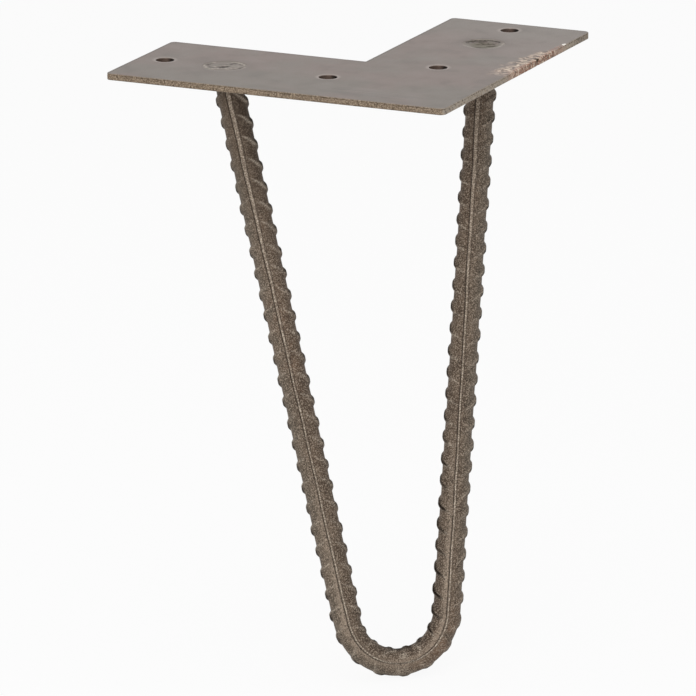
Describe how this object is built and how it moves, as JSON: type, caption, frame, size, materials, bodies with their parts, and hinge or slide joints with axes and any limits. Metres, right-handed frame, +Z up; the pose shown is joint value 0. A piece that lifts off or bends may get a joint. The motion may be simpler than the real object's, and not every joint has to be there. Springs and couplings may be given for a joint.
{
  "type": "hairpin table leg",
  "caption": "Low hairpin table leg bent from ribbed steel bar and plug-welded to an L-shaped corner plate with screw holes, for fixing under a table top.",
  "frame": {"origin": "on the plate's top face, where the centre lines of its two arms cross", "axes": "+Z up, out of the plate's top face into the table; -Y towards the plate's outer corner; +X to the right across the hairpin"},
  "size_m": [0.1688, 0.1193, 0.2007],
  "materials": {
    "plate_steel": "dull grey rolled sheet with a brown cut edge",
    "bar_steel": "brown-grey rolled bar with mill scale and light rust",
    "weld_metal": "ground weld metal"
  },
  "bodies": {
    "root": {"mounting_plate": "plate_steel", "hairpin_bar": "bar_steel", "left_plug_weld": "weld_metal", "right_plug_weld": "weld_metal"}
  },
  "joints": []
}
